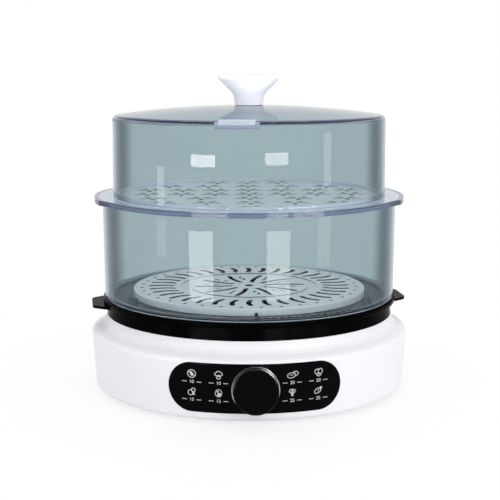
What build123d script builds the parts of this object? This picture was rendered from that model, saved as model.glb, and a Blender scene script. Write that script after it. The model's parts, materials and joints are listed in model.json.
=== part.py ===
from build123d import *
import os
from math import cos, hypot, radians, sin, sqrt

# Electric food steamer with a round base, a water tank over a heating plate, a drip tray,
# a clear bowl with a loose steaming plate, a clear perforated upper tray and a tall clear lid.
# Millimetres. +Z is up, the control knob faces -Y, and the origin lies on the table
# under the middle of the model.

# ---------------------------------------------------------------- driving sizes
# Base housing
base_foot_height = 3.0          # daylight under the base
side_bottom_radius = 142.0      # side wall where it meets the underside
side_flare = 3.4                # how far the side leans out up to the shoulder
side_height = 51.6              # from the underside to the corner between side and slope
slope_width = 11.0              # from the shoulder in to the foot of the neck
slope_rise = 5.1
neck_width = 3.6                # from its foot in to the collar, the round lip on top of the base
neck_rise = 9.1
housing_wall = 2.6
bottom_rounding = 5.0
shoulder_rounding = 4.0
neck_rounding = 7.0
lip_width = 9.5                 # inward lip that frames the bottom cover
ledge_drop = 0.6                # shelf that carries the water tank, below the shoulder
ledge_thickness = 2.5
ledge_width = 12.7

# Bottom cover, feet and their screws
cover_thickness = 2.5
cover_gap = 0.3
foot_radius = 8.0
foot_inset = 34.0
foot_recess = 1.0
foot_edge = 0.8
cover_boss_radius = 4.5
cover_boss_inset = 18.0
cover_boss_length = 22.0
boss_rib_thickness = 3.0
vent_slot_length = 26.0
vent_slot_width = 3.0
vent_slot_count = 5
vent_slot_pitch = 8.0
vent_centre_y = -55.0

# Screws
screw_head_radius = 3.0
screw_head_height = 1.6
screw_shank_radius = 1.5
screw_bore_gap = 0.05
screw_hole_gap = 0.35
screw_tip_gap = 1.0
cross_width = 0.9
cross_depth = 0.8
cross_share = 0.6               # half length of the cross over the head's radius
cover_screw_length = 14.0
clamp_screw_length = 6.0
board_screw_length = 7.0
tank_screw_length = 6.0

# Water tank
tank_gap = 3.5                  # from the shelf's inner edge to the tank's wall
tank_wall = 2.0
tank_headroom = 0.8             # from the relay up to the tank's floor
tank_flange_thickness = 2.0
tank_flange_gap = 0.5
tank_inner_corner = 6.0
tank_screw_inset = 6.0          # from the shelf's inner edge
heater_hole_radius = 42.0

# Heater
heater_boss_gap = 0.5
heater_flange_width = 4.0
heater_flange_thickness = 3.0
seal_thickness = 1.5
seal_width = 3.4
element_inset = 12.0            # from the edge of the hole to the element's circle
element_radius = 4.0
element_embed = 2.0
element_sweep = 306.0
terminal_length = 8.0
terminal_radius = 4.6
pin_radius = 1.2
pin_length = 4.0
clamp_overlap = 3.0
clamp_thickness = 2.0
clamp_screw_offset = 7.5        # from the heater's flange
clamp_screw_margin = 6.5        # from the screws out to the clamp's edge
clamp_boss_radius = 4.0
clamp_screw_count = 3
thermostat_radius = 9.0
thermostat_height = 7.0
thermostat_rim = 2.0
thermostat_rim_thickness = 1.2
fuse_radius = 2.0
fuse_length = 14.0
fuse_gap = 4.0

# Control panel
panel_half_width = 71.8
panel_margin = 1.4              # above and below the knob's bezel
panel_end_width = 19.0          # horizontal half axis of each rounded end
panel_centre_rise = 28.8        # above the underside
panel_depth = 1.3               # how far the panel is let into the housing
panel_proud = 0.35
panel_fit_gap = 0.05

# Control board behind the panel
board_inset = 17.4              # its rear face behind the side wall's foot
board_thickness = 1.6
board_end_gap = 2.2
board_top_gap = 2.4             # under the shelf
board_boss_radius = 3.5
board_boss_side_inset = 16.0
board_boss_top_inset = 4.5
led_radius = 1.5
led_length = 3.0
led_inset = 4.5
led_pitch = 22.1
led_upper_rise = 10.7           # above the panel's middle
led_lower_drop = 4.8            # below the panel's middle

# Rotary encoder
encoder_width = 13.0
encoder_depth = 6.5
encoder_wall = 2.0
bushing_wall = 1.2
bushing_length = 7.6
bushing_gap = 0.2
shaft_radius = 3.0
shaft_running_gap = 0.05
shaft_tip_gap = 0.8             # behind the knob's face wall
shaft_flat_depth = 1.0          # depth of the D flat
shaft_flat_length = 9.0
plunger_margin = 1.4
plunger_thickness = 1.4
plunger_gap = 0.1
press_travel = 1.5

# Control knob and its bezel
knob_radius = 18.8
knob_stand = 5.0                # its rear rim in front of the side wall's foot
knob_depth = 10.6
knob_wall = 2.0
knob_edge = 1.6
knob_hub_wall = 2.2
knob_hub_gap = 0.02
bezel_gap = 0.35
bezel_width = 0.8
bezel_height = 3.2              # how far it stands off the panel at its highest

# Power board
power_board_length = 84.0
power_board_width = 34.0
power_board_thickness = 1.6
power_board_inset = 39.0        # its rear edge in front of the side wall's foot
power_pillar_height = 4.5
power_pillar_radius = 3.5
power_pillar_inset = 5.0
power_part_gap = 3.0
terminal_block_inset = 7.0      # from the board's end
terminal_block_length = 16.0
terminal_block_width = 10.0
terminal_block_height = 9.0
relay_length = 19.0
relay_width = 15.5
relay_height = 9.6
transformer_length = 20.0
transformer_width = 16.0
transformer_height = 9.0
buzzer_radius = 6.0
buzzer_height = 8.0

# Cord gland
gland_rise = 17.0               # above the underside
gland_bore_radius = 3.6
gland_root_wall = 4.4
gland_tip_wall = 2.0
gland_flange_width = 2.5
gland_flange_thickness = 2.2
gland_flange_standoff = 0.2
gland_length = 15.6             # its outer end behind the side wall's foot
gland_inner_flange_thickness = 2.0
gland_inner_clearance = 0.7
gland_hole_gap = 0.1

# Drip tray
tray_turn = 6.0                 # degrees that the loose tray stands turned on the base
tray_seat_gap = 0.2
tray_wall = 2.0
tray_inset = 1.3                # its wall under the rim, inside the collar's outer edge
tray_foot_flare = 1.7           # how far the wall leans out down to the collar
tray_plug_gap = 0.6
tray_floor_gap = 0.7            # over the tank's screws
tray_height = 15.9              # above the collar
tray_rim_width = 5.0
tray_rim_thickness = 4.8
tray_corner = 3.0
tray_inner_corner = 2.0
tray_rim_rounding = 1.2
chimney_radius = 21.0
chimney_wall = 1.8
chimney_drop = 6.7              # its lip below the tray's rim
chimney_foot_rounding = 1.0
chimney_lip_rounding = 0.6
tray_handle_length = 10.3
tray_handle_root_half_width = 28.0
tray_handle_tip_half_width = 18.0
tray_handle_thickness = 2.6
tray_handle_corner = 9.0
tray_handle_edge = 0.8

# Lower bowl
bowl_turn = -1.0
bowl_seat_gap = 0.2
bowl_wall = 3.0
bowl_height = 86.9              # from its foot to the underside of its flange
bowl_foot_inset = 1.7           # inside the drip tray's rim
bowl_flare = 0.9
bowl_foot_thickness = 2.6
bowl_step_width = 8.2
bowl_foot_rounding = 1.0
bowl_inner_rounding = 1.5
bowl_step_rounding = 0.6
spigot_gap = 0.6
spigot_rounding = 0.8
bowl_floor_drop = 2.1
bowl_floor_thickness = 2.2
bowl_floor_margin = 8.3         # how far the floor reaches in under the steaming plate
catch_width = 3.0
catch_length = 4.0
catch_rise = 3.0
catch_gap = 0.5
catch_angles = (85.3, 272.1)
lug_radius = 6.0
lug_wall = 1.2
lug_inset = 7.8
lug_height = 7.0
lug_angles = (210, 330)

# Flanges of bowl and upper tray
flange_thickness = 2.2
flange_gap = 0.2
flange_width = 2.8
wing_width = 4.5
wing_half_width = 36.0
wing_root_half_width = 64.0
wing_corner = 9.0

# Steaming plate
plate_clearance = 17.7          # from the bowl's step
plate_thickness = 1.4
plate_rise = 6.0
plate_skirt = 2.0
plate_gap = 0.1
plate_edge = 0.8
plate_notch_width = 2.6
plate_notch_height = 3.0
plate_centre_hole = 3.9
plate_groove_width = 8.4
plate_groove_depth = 0.6
groove_margin = 5.5             # from the swirl slots in to the groove
swirl_count = 36
swirl_margin = 13.8             # from the plate's edge
swirl_length = 24.6
swirl_width = 4.4
swirl_bulge = 2.0
rim_hole_margin = 7.8
rim_hole_radius = 1.6
star_count = 10
star_inner_radius = 15.2
star_margin = 3.4               # from the groove
star_width = 4.2
star_bulge = 1.6
star_lean = 4.0                 # degrees between a slot's two ends
star_turn = 8.0
short_margin = 7.2              # from the star's tips
short_outer_length = 7.0
short_inner_length = 6.5
short_spacing = 2.5
short_step = 3.0                # degrees between the two short slots of a pair
short_width = 2.2

# Upper tray
tray_ring_gap = 0.4
tray_ring_wall = 2.0
tray_ring_depth = 2.7
upstand_gap = 0.6
upstand_wall = 2.0
upstand_height = 3.0
petal_count = 5
petal_width = 4.2
petal_inner_radius = 3.2
petal_outer_radius = 11.4
rosette_margin = 3.0            # from the upstand
rosette_row_pitch = 33.0
rosette_counts = (3, 5, 5, 7, 7, 5, 3)
rosette_pitches = (30.0, 38.0, 43.0, 31.0, 31.0, 38.0, 30.0)

# Lid
lid_turn = -7.0
lid_seat_gap = 0.2
lid_inset = 9.6                 # inside the bowl's top edge
lid_taper = 0.5
lid_wall = 3.0
lid_side_height = 72.9          # up to where the dome starts
lid_inner_rounding = 2.0
dome_rise = 8.0
lid_pad_radius = 12.0
lid_pad_rise = 0.2
lid_pad_drop = 0.3
vent_recess_width = 31.0
vent_recess_depth = 3.5         # below the dome's edge
vent_recess_length = 12.1
vent_slot_opening_width = 24.0
vent_slot_opening_height = 2.5
vent_slot_rise = 1.0

# Lid knob
grip_waist_radius = 13.2
grip_radius = 28.0
grip_height = 26.9
grip_waist_height = 9.3
grip_rim_height = 3.2
grip_waist_rounding = 12.0
grip_edge_rounding = 1.3
grip_foot_rounding = 0.6
grip_under_rounding = 1.8
grip_wall = 2.6
grip_post_radius = 5.0
grip_lip_width = 3.1
grip_cap_thickness = 1.6
grip_cap_recess = 0.1
grip_cap_gap = 0.05
grip_cap_rounding = 0.4
grip_screw_radius = 2.0
grip_screw_length = 18.0
grip_screw_head_radius = 3.8
grip_screw_head_height = 2.4
washer_radius = 7.0
washer_thickness = 1.0

# ---------------------------------------------------------------- worked-out places
# Base
underside = base_foot_height
cover_top = underside + cover_thickness
shoulder_radius = side_bottom_radius + side_flare
shoulder_height = underside + side_height
neck_foot_radius = shoulder_radius - slope_width
neck_foot_height = shoulder_height + slope_rise
collar_radius = neck_foot_radius - neck_width
collar_inner_radius = collar_radius - housing_wall
collar_top_height = neck_foot_height + neck_rise
lip_radius = side_bottom_radius - lip_width
cover_radius = lip_radius - cover_gap
foot_circle_radius = side_bottom_radius - foot_inset
cover_boss_circle_radius = side_bottom_radius - cover_boss_inset
ledge_height = shoulder_height - ledge_drop
ledge_top = ledge_height + ledge_thickness
ledge_inner_radius = collar_inner_radius - ledge_width
power_board_y = side_bottom_radius - power_board_inset - power_board_width / 2
power_board_underside = cover_top + power_pillar_height
power_board_top = power_board_underside + power_board_thickness
terminal_block_x = terminal_block_inset + (terminal_block_length - power_board_length) / 2
relay_x = terminal_block_x + power_part_gap + (terminal_block_length + relay_length) / 2
transformer_x = relay_x + power_part_gap + (relay_length + transformer_length) / 2
buzzer_x = transformer_x + power_part_gap + transformer_length / 2 + buzzer_radius

# Tank and heater
tank_radius = ledge_inner_radius - tank_gap
tank_top = ledge_top + tank_flange_thickness
tank_floor_height = power_board_top + relay_height + tank_headroom
tank_floor_top = tank_floor_height + tank_wall
tank_screw_circle_radius = ledge_inner_radius + tank_screw_inset
heater_flange_radius = heater_hole_radius + heater_flange_width
heater_flange_top = tank_floor_height - seal_thickness
heater_underside = heater_flange_top - heater_flange_thickness
element_circle_radius = heater_hole_radius - element_inset
element_height = heater_underside + element_embed - element_radius
clamp_inner_radius = heater_hole_radius - clamp_overlap
clamp_screw_circle_radius = heater_flange_radius + clamp_screw_offset
clamp_outer_radius = clamp_screw_circle_radius + clamp_screw_margin
clamp_underside = heater_underside - clamp_thickness
fuse_offset = thermostat_radius + thermostat_rim + fuse_gap + fuse_radius

# Controls
panel_centre_height = underside + panel_centre_rise
panel_height = 2 * (knob_radius + bezel_gap + bezel_width + panel_margin)
board_back = side_bottom_radius - board_inset
board_front = board_back + board_thickness
board_half_width = sqrt((side_bottom_radius - housing_wall)**2 - board_front**2) - board_end_gap
board_height = 2 * (ledge_height - board_top_gap - panel_centre_height)
board_boss_x = board_half_width - board_boss_side_inset
board_boss_dz = board_height / 2 - board_boss_top_inset
led_outer_x = board_half_width - led_inset
led_inner_x = led_outer_x - led_pitch
encoder_front = board_front + encoder_depth
plunger_front = encoder_front - encoder_wall
plunger_radius = shaft_radius + plunger_margin
bushing_radius = shaft_radius + bushing_wall
shaft_hole_radius = bushing_radius + bushing_gap
shaft_flat = shaft_radius - shaft_flat_depth
knob_back_distance = side_bottom_radius + knob_stand
knob_face_distance = knob_back_distance + knob_depth
knob_hub_radius = shaft_radius + knob_hub_wall
shaft_end = knob_face_distance - knob_wall - shaft_tip_gap
gland_height = underside + gland_rise
gland_root_radius = gland_bore_radius + gland_root_wall
gland_tip_radius = gland_bore_radius + gland_tip_wall
gland_flange_radius = gland_root_radius + gland_flange_width
gland_reach = side_bottom_radius + gland_length

# Drip tray
tray_seat = collar_top_height + tray_seat_gap
tray_radius = collar_radius - tray_inset
tray_inner_radius = tray_radius - tray_wall
tray_plug_radius = collar_inner_radius - tray_plug_gap
tray_floor_height = tank_top + screw_head_height + tray_floor_gap
tray_rim_radius = tray_radius + tray_rim_width
tray_top_height = collar_top_height + tray_height
tray_rim_underside = tray_top_height - tray_rim_thickness
tray_handle_reach = tray_rim_radius + tray_handle_length
chimney_top_height = tray_top_height - chimney_drop

# Bowl, plate and upper tray
bowl_foot = tray_top_height + bowl_seat_gap
bowl_foot_top = bowl_foot + bowl_foot_thickness
bowl_foot_radius = tray_rim_radius - bowl_foot_inset
bowl_foot_inner_radius = bowl_foot_radius - bowl_step_width
bowl_top_radius = bowl_foot_radius + bowl_flare
spigot_radius = tray_inner_radius - spigot_gap
bowl_floor = bowl_foot - bowl_floor_drop
bowl_floor_top = bowl_floor + bowl_floor_thickness
flange_underside_height = bowl_foot + bowl_height
bowl_flange_top = flange_underside_height + flange_thickness
flange_radius = bowl_top_radius + flange_width
wing_radius = flange_radius + wing_width
plate_radius = bowl_foot_inner_radius - plate_clearance
plate_foot = bowl_floor_top + plate_gap
plate_top = plate_foot + plate_rise
plate_underside = plate_top - plate_thickness
bowl_floor_opening = plate_radius - bowl_floor_margin
lug_circle_radius = bowl_foot_inner_radius - lug_inset
rim_hole_circle_radius = plate_radius - rim_hole_margin
swirl_outer_radius = plate_radius - swirl_margin
swirl_inner_radius = swirl_outer_radius - swirl_length
groove_outer_radius = swirl_inner_radius - groove_margin
groove_inner_radius = groove_outer_radius - plate_groove_width
star_outer_radius = groove_inner_radius - star_margin
short_outer_end = star_outer_radius - short_margin
short_inner_end = short_outer_end - short_outer_length - short_spacing
upper_tray_underside = bowl_flange_top + flange_gap
upper_tray_top = upper_tray_underside + flange_thickness

# Lid and its knob
lid_foot = upper_tray_top + lid_seat_gap
lid_bottom_radius = bowl_top_radius - lid_inset
lid_top_radius = lid_bottom_radius - lid_taper
lid_shoulder_height = lid_foot + lid_side_height
lid_shoulder_rounding = lid_wall + lid_inner_rounding
lid_apex_height = lid_shoulder_height + dome_rise
lid_pad_underside = lid_apex_height - lid_wall - lid_pad_drop
vent_recess_floor_height = lid_shoulder_height - vent_recess_depth
vent_recess_back = lid_bottom_radius - vent_recess_length
upstand_radius = lid_bottom_radius - lid_wall - upstand_gap
rosette_reach = upstand_radius - upstand_wall - rosette_margin - petal_outer_radius
grip_foot = lid_apex_height + lid_pad_rise
grip_top_height = grip_foot + grip_height
grip_cone_foot_height = grip_foot + grip_waist_height
grip_cone_top_height = grip_top_height - grip_rim_height
grip_cap_radius = grip_radius - grip_lip_width
grip_cap_top = grip_top_height - grip_cap_recess
quarter_turns = (45, 135, 225, 315)
front = Plane.XZ                # sketches on this plane extrude towards -Y


# ---------------------------------------------------------------- helpers
def turned(points, radii=None):
    """Solid of revolution about Z from an outline of (radius, height) points."""
    if radii is None:
        outline = Polyline(*points, close=True)
    else:
        outline = FilletPolyline(*points, radius=radii, close=True)
    return revolve(Plane.XZ * make_face(outline), Axis.Z)


def upright(radius, low, high, x=0.0, y=0.0):
    """Upright cylinder between two heights."""
    post = Cylinder(radius, high - low, align=(Align.CENTER, Align.CENTER, Align.MIN))
    return Pos(x, y, low) * post


def tube(inner_radius, outer_radius, low, high):
    """Upright ring between two heights."""
    return upright(outer_radius, low, high) - upright(inner_radius, low, high)


def lying(radius, near, far, x=0.0, z=0.0):
    """Cylinder along -Y between two distances in front of the axis."""
    return extrude(front.offset(near) * Pos(x, z) * Circle(radius), far - near)


def block(low, high):
    """Box between two opposite corners."""
    size = [b - a for a, b in zip(low, high)]
    return Pos(*low) * Box(*size, align=(Align.MIN, Align.MIN, Align.MIN))


def on_circle(radius, angle):
    """Point on a circle about the axis, angle in degrees from +X."""
    return radius * cos(radians(angle)), radius * sin(radians(angle))


def copies_at(shape, angles):
    """Copies of a shape turned about Z."""
    return [Rot(0, 0, angle) * shape for angle in angles]


def steps(count):
    """Evenly spaced angles round the circle."""
    return [360 * step / count for step in range(count)]


def screw(length, radius=screw_shank_radius, head=screw_head_radius, rise=screw_head_height):
    """Pan-head screw with its shank along +Z and the head's seat at the origin."""
    body = upright(head, -rise, 0) + upright(radius, 0, length)
    reach = head * cross_share
    arm = block((-reach, -cross_width / 2, -rise), (reach, cross_width / 2, cross_depth - rise))
    return body - arm - Rot(0, 0, 90) * arm


# ---------------------------------------------------------------- base housing
def housing_line():
    """Outer skin of the base from the lip under it to the collar on top."""
    return FilletPolyline(
        (lip_radius, underside),
        (side_bottom_radius, underside),
        (shoulder_radius, shoulder_height),
        (neck_foot_radius, neck_foot_height),
        (collar_radius, collar_top_height),
        radius=[bottom_rounding, shoulder_rounding, neck_rounding],
    )


def skin(thickness, side):
    """Revolved layer of the housing's skin, inwards (Side.LEFT) or outwards (Side.RIGHT)."""
    outline = offset(housing_line(), amount=thickness, side=side)
    return revolve(Plane.XZ * make_face(outline), Axis.Z)


def envelope():
    """Everything inside the housing's outer skin."""
    closing = Polyline(
        (collar_radius, collar_top_height), (0, collar_top_height), (0, underside), (lip_radius, underside),
    )
    return revolve(Plane.XZ * make_face(housing_line() + closing), Axis.Z)


def side_radius(height):
    """Outer radius of the straight part of the housing's side at a height."""
    share = (height - underside) / (shoulder_height - underside)
    return side_bottom_radius + share * (shoulder_radius - side_bottom_radius)


def panel_prism(grow=0.0):
    """Straight prism of the panel's outline, towards the front."""
    half_height = panel_height / 2 + grow
    end = panel_end_width + grow
    middle = panel_half_width - panel_end_width
    outline = Rectangle(2 * middle, 2 * half_height)
    outline += [Pos(x, 0) * Ellipse(end, half_height) for x in (-middle, middle)]
    return extrude(front * Pos(0, panel_centre_height) * outline, knob_face_distance)


def board_boss_places():
    return [(x, panel_centre_height + dz) for x in (-board_boss_x, board_boss_x)
            for dz in (-board_boss_dz, board_boss_dz)]


def make_base_housing():
    inside = envelope()
    shell = skin(housing_wall, Side.LEFT)
    ledge = tube(ledge_inner_radius, shoulder_radius, ledge_height, ledge_top) & inside
    post = upright(cover_boss_radius, cover_top, cover_top + cover_boss_length, cover_boss_circle_radius)
    rib = block(
        (cover_boss_circle_radius, -boss_rib_thickness / 2, cover_top + housing_wall),
        (shoulder_radius, boss_rib_thickness / 2, cover_top + cover_boss_length),
    ) & inside
    shell += ledge
    shell += copies_at(post + rib, quarter_turns)
    shell += [lying(board_boss_radius, board_front, knob_face_distance, x, z) & inside
              for x, z in board_boss_places()]
    shell -= panel_prism(panel_fit_gap) & skin(panel_depth + panel_fit_gap, Side.LEFT)
    bore = screw_shank_radius + screw_bore_gap
    depth = cover_top + cover_screw_length
    shell -= copies_at(upright(bore, cover_top, depth, cover_boss_circle_radius), quarter_turns)
    shell -= [lying(bore, board_front, board_back + board_screw_length + screw_tip_gap, x, z)
              for x, z in board_boss_places()]
    shell -= lying(shaft_hole_radius, board_front, knob_face_distance, z=panel_centre_height)
    tank_bore = upright(bore, ledge_height, ledge_top, tank_screw_circle_radius)
    shell -= copies_at(tank_bore, steps(4))
    gland_way = lying(gland_root_radius + gland_hole_gap, -gland_reach, -board_front, z=gland_height)
    return shell - gland_way


def make_bottom_cover():
    cover = upright(cover_radius, underside, cover_top)
    hole = upright(screw_shank_radius + screw_hole_gap, underside, cover_top, cover_boss_circle_radius)
    recess = upright(foot_radius, underside, underside + foot_recess, foot_circle_radius)
    cover -= copies_at(hole + recess, quarter_turns)
    for step in range(vent_slot_count):
        y = vent_centre_y + (step - (vent_slot_count - 1) / 2) * vent_slot_pitch
        slot = Pos(0, y, underside) * SlotOverall(vent_slot_length, vent_slot_width)
        cover -= extrude(slot, cover_thickness)
    bore = screw_shank_radius + screw_bore_gap
    for x, y in power_pillar_places():
        pillar = upright(power_pillar_radius, cover_top, power_board_underside, x, y)
        cover += pillar - upright(bore, cover_top, power_board_underside, x, y)
    return cover


def make_rubber_feet():
    foot = upright(foot_radius, 0, underside + foot_recess)
    foot = fillet(foot.edges().group_by(Axis.Z)[0], foot_edge)
    return copies_at(Pos(foot_circle_radius, 0) * foot, quarter_turns)


def make_bottom_screws():
    seated = Pos(cover_boss_circle_radius, 0, underside) * screw(cover_screw_length - screw_tip_gap)
    return copies_at(seated, quarter_turns)


# ---------------------------------------------------------------- tank and heater
def make_water_tank():
    reach = collar_inner_radius - tank_flange_gap
    points = [
        (heater_hole_radius, tank_floor_height), (tank_radius, tank_floor_height),
        (tank_radius, ledge_top), (reach, ledge_top), (reach, tank_top),
        (tank_radius - tank_wall, tank_top), (tank_radius - tank_wall, tank_floor_top),
        (heater_hole_radius, tank_floor_top),
    ]
    tank = turned(points, [0, tank_inner_corner + tank_wall, 0, 0, 0, 0, tank_inner_corner, 0])
    boss = upright(clamp_boss_radius, heater_underside, tank_floor_height, clamp_screw_circle_radius)
    tank += copies_at(boss, steps(clamp_screw_count))
    bore = upright(screw_shank_radius + screw_bore_gap, heater_underside, tank_floor_height,
                   clamp_screw_circle_radius)
    tank -= copies_at(bore, steps(clamp_screw_count))
    hole = upright(screw_shank_radius + screw_hole_gap, ledge_top, tank_top, tank_screw_circle_radius)
    return tank - copies_at(hole, steps(4))


def make_tank_screws():
    seated = Pos(tank_screw_circle_radius, 0, tank_top) * Rot(180, 0, 0) * screw(tank_screw_length)
    return copies_at(seated, steps(4))


def element_ring(radius):
    """C-shaped tube with its opening towards the rear."""
    section = Plane.XZ * Pos(element_circle_radius, element_height) * Circle(radius)
    start = 90 + (360 - element_sweep) / 2
    return Rot(0, 0, start) * revolve(section, Axis.Z, element_sweep)


def make_heating_plate():
    boss = heater_hole_radius - heater_boss_gap
    plate = turned([
        (0, heater_underside), (heater_flange_radius, heater_underside),
        (heater_flange_radius, heater_flange_top), (boss, heater_flange_top),
        (boss, tank_floor_top), (0, tank_floor_top),
    ])
    return plate - element_ring(element_radius + screw_bore_gap)


def make_tank_seal():
    inner = heater_flange_radius - seal_width
    return tube(inner, heater_flange_radius, heater_flange_top, tank_floor_height)


def make_heating_element():
    return element_ring(element_radius)


def make_element_terminals():
    opening = 360 - element_sweep
    terminal = upright(terminal_radius, 0, terminal_length)
    terminal += upright(pin_radius, terminal_length, terminal_length + pin_length)
    at_end = Rot(0, 0, 90 - opening / 2) * Pos(element_circle_radius, 0, element_height)
    one = at_end * Rot(-90, 0, 0) * terminal
    clipped = one - upright(heater_flange_radius, heater_underside, tank_floor_top)
    return [clipped, mirror(clipped, Plane.YZ)]


def make_heater_clamp():
    clamp = tube(clamp_inner_radius, clamp_outer_radius, clamp_underside, heater_underside)
    hole = upright(screw_shank_radius + screw_hole_gap, clamp_underside, heater_underside,
                   clamp_screw_circle_radius)
    return clamp - copies_at(hole, steps(clamp_screw_count))


def make_clamp_screws():
    seated = Pos(clamp_screw_circle_radius, 0, clamp_underside) * screw(clamp_screw_length)
    return copies_at(seated, steps(clamp_screw_count))


def make_thermostat():
    low = heater_underside - thermostat_height
    can = upright(thermostat_radius, low, heater_underside)
    rim_low = heater_underside - thermostat_rim_thickness
    return can + upright(thermostat_radius + thermostat_rim, rim_low, heater_underside)


def make_thermal_fuse():
    body = Rot(90, 0, 0) * Cylinder(fuse_radius, fuse_length)
    return Pos(-fuse_offset, 0, heater_underside - fuse_radius) * body


# ---------------------------------------------------------------- controls
def make_panel_overlay():
    layer = skin(panel_depth, Side.LEFT) + skin(panel_proud, Side.RIGHT)
    panel = panel_prism() & layer
    return panel - lying(shaft_hole_radius, board_front, knob_face_distance, z=panel_centre_height)


def make_knob_bezel():
    inner = knob_radius + bezel_gap
    surface = side_radius(panel_centre_height) + panel_proud
    top = surface + bezel_height
    ring = lying(inner + bezel_width, board_front, top, z=panel_centre_height)
    ring -= lying(inner, board_front, top, z=panel_centre_height)
    return ring - envelope() - skin(panel_proud, Side.RIGHT)


def make_control_board():
    low = panel_centre_height - board_height / 2
    board = block(
        (-board_half_width, -board_front, low),
        (board_half_width, -board_back, low + board_height),
    )
    hole = screw_shank_radius + screw_hole_gap
    return board - [lying(hole, board_back, board_front, x, z) for x, z in board_boss_places()]


def make_board_screws():
    upside = Rot(90, 0, 0) * screw(board_screw_length)
    return [Pos(x, -board_back, z) * upside for x, z in board_boss_places()]


def make_indicator_leds():
    places = [(side * x, panel_centre_height + dz) for side in (-1, 1) for x in (led_inner_x, led_outer_x)
              for dz in (-led_lower_drop, led_upper_rise)]
    return [lying(led_radius, board_front, board_front + led_length, x, z) for x, z in places]


def make_encoder_body():
    half = encoder_width / 2
    z = panel_centre_height
    body = block((-half, -encoder_front, z - half), (half, -board_front, z + half))
    body += lying(bushing_radius, encoder_front, encoder_front + bushing_length, z=z)
    body -= lying(shaft_radius + shaft_running_gap, plunger_front, knob_face_distance, z=z)
    chamber_back = plunger_front - plunger_thickness - press_travel - plunger_gap
    return body - lying(plunger_radius + shaft_running_gap, chamber_back, plunger_front + plunger_gap, z=z)


def make_encoder_plunger():
    return lying(plunger_radius, plunger_front - plunger_thickness, plunger_front, z=panel_centre_height)


def flat_cut(height):
    """Block above the D flat at a height over the shaft's axis."""
    reach = shaft_radius * 2
    low = (-reach, -shaft_end, panel_centre_height + height)
    return block(low, (reach, shaft_flat_length - shaft_end, panel_centre_height + reach))


def make_encoder_shaft():
    start = plunger_front + plunger_gap
    return lying(shaft_radius, start, shaft_end, z=panel_centre_height) - flat_cut(shaft_flat)


def make_control_knob():
    z = panel_centre_height
    cap = lying(knob_radius, knob_back_distance, knob_face_distance, z=z)
    cap = chamfer(cap.edges().group_by(Axis.Y)[0], knob_edge)
    hollow = knob_face_distance - knob_wall
    cap -= lying(knob_radius - knob_wall, knob_back_distance, hollow, z=z)
    cap += lying(knob_hub_radius, knob_back_distance, hollow, z=z)
    bore = lying(shaft_radius + knob_hub_gap, knob_back_distance, shaft_end + plunger_gap, z=z)
    return cap - (bore - flat_cut(shaft_flat + knob_hub_gap))


# ---------------------------------------------------------------- power electronics
def power_pillar_places():
    dx = power_board_length / 2 - power_pillar_inset
    dy = power_board_width / 2 - power_pillar_inset
    return [(x, power_board_y + y) for x in (-dx, dx) for y in (-dy, dy)]


def make_power_board():
    dx = power_board_length / 2
    dy = power_board_width / 2
    board = block(
        (-dx, power_board_y - dy, power_board_underside),
        (dx, power_board_y + dy, power_board_top),
    )
    hole = screw_shank_radius + screw_hole_gap
    return board - [upright(hole, power_board_underside, power_board_top, x, y)
                    for x, y in power_pillar_places()]


def make_power_board_screws():
    down = Rot(180, 0, 0) * screw(power_board_thickness + power_pillar_height - screw_tip_gap)
    return [Pos(x, y, power_board_top) * down for x, y in power_pillar_places()]


def component(x, length, width, height):
    """Part that stands on the middle line of the power board."""
    low = (x - length / 2, power_board_y - width / 2, power_board_top)
    return block(low, (x + length / 2, power_board_y + width / 2, power_board_top + height))


def make_relay():
    return component(relay_x, relay_length, relay_width, relay_height)


def make_transformer():
    return component(transformer_x, transformer_length, transformer_width, transformer_height)


def make_terminal_block():
    return component(terminal_block_x, terminal_block_length, terminal_block_width, terminal_block_height)


def make_buzzer():
    return upright(buzzer_radius, power_board_top, power_board_top + buzzer_height, buzzer_x, power_board_y)


def make_cord_gland():
    outer = side_radius(gland_height + gland_flange_radius) + gland_flange_standoff
    inner = side_radius(gland_height - gland_flange_radius) - housing_wall - gland_inner_clearance
    inner_end = inner - gland_inner_flange_thickness
    sleeve = turned([
        (gland_bore_radius, inner_end), (gland_flange_radius, inner_end),
        (gland_flange_radius, inner), (gland_root_radius, inner), (gland_root_radius, outer),
        (gland_flange_radius, outer), (gland_flange_radius, outer + gland_flange_thickness),
        (gland_root_radius, outer + gland_flange_thickness), (gland_tip_radius, gland_reach),
        (gland_bore_radius, gland_reach),
    ])
    return Pos(0, 0, gland_height) * Rot(-90, 0, 0) * sleeve


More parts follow.
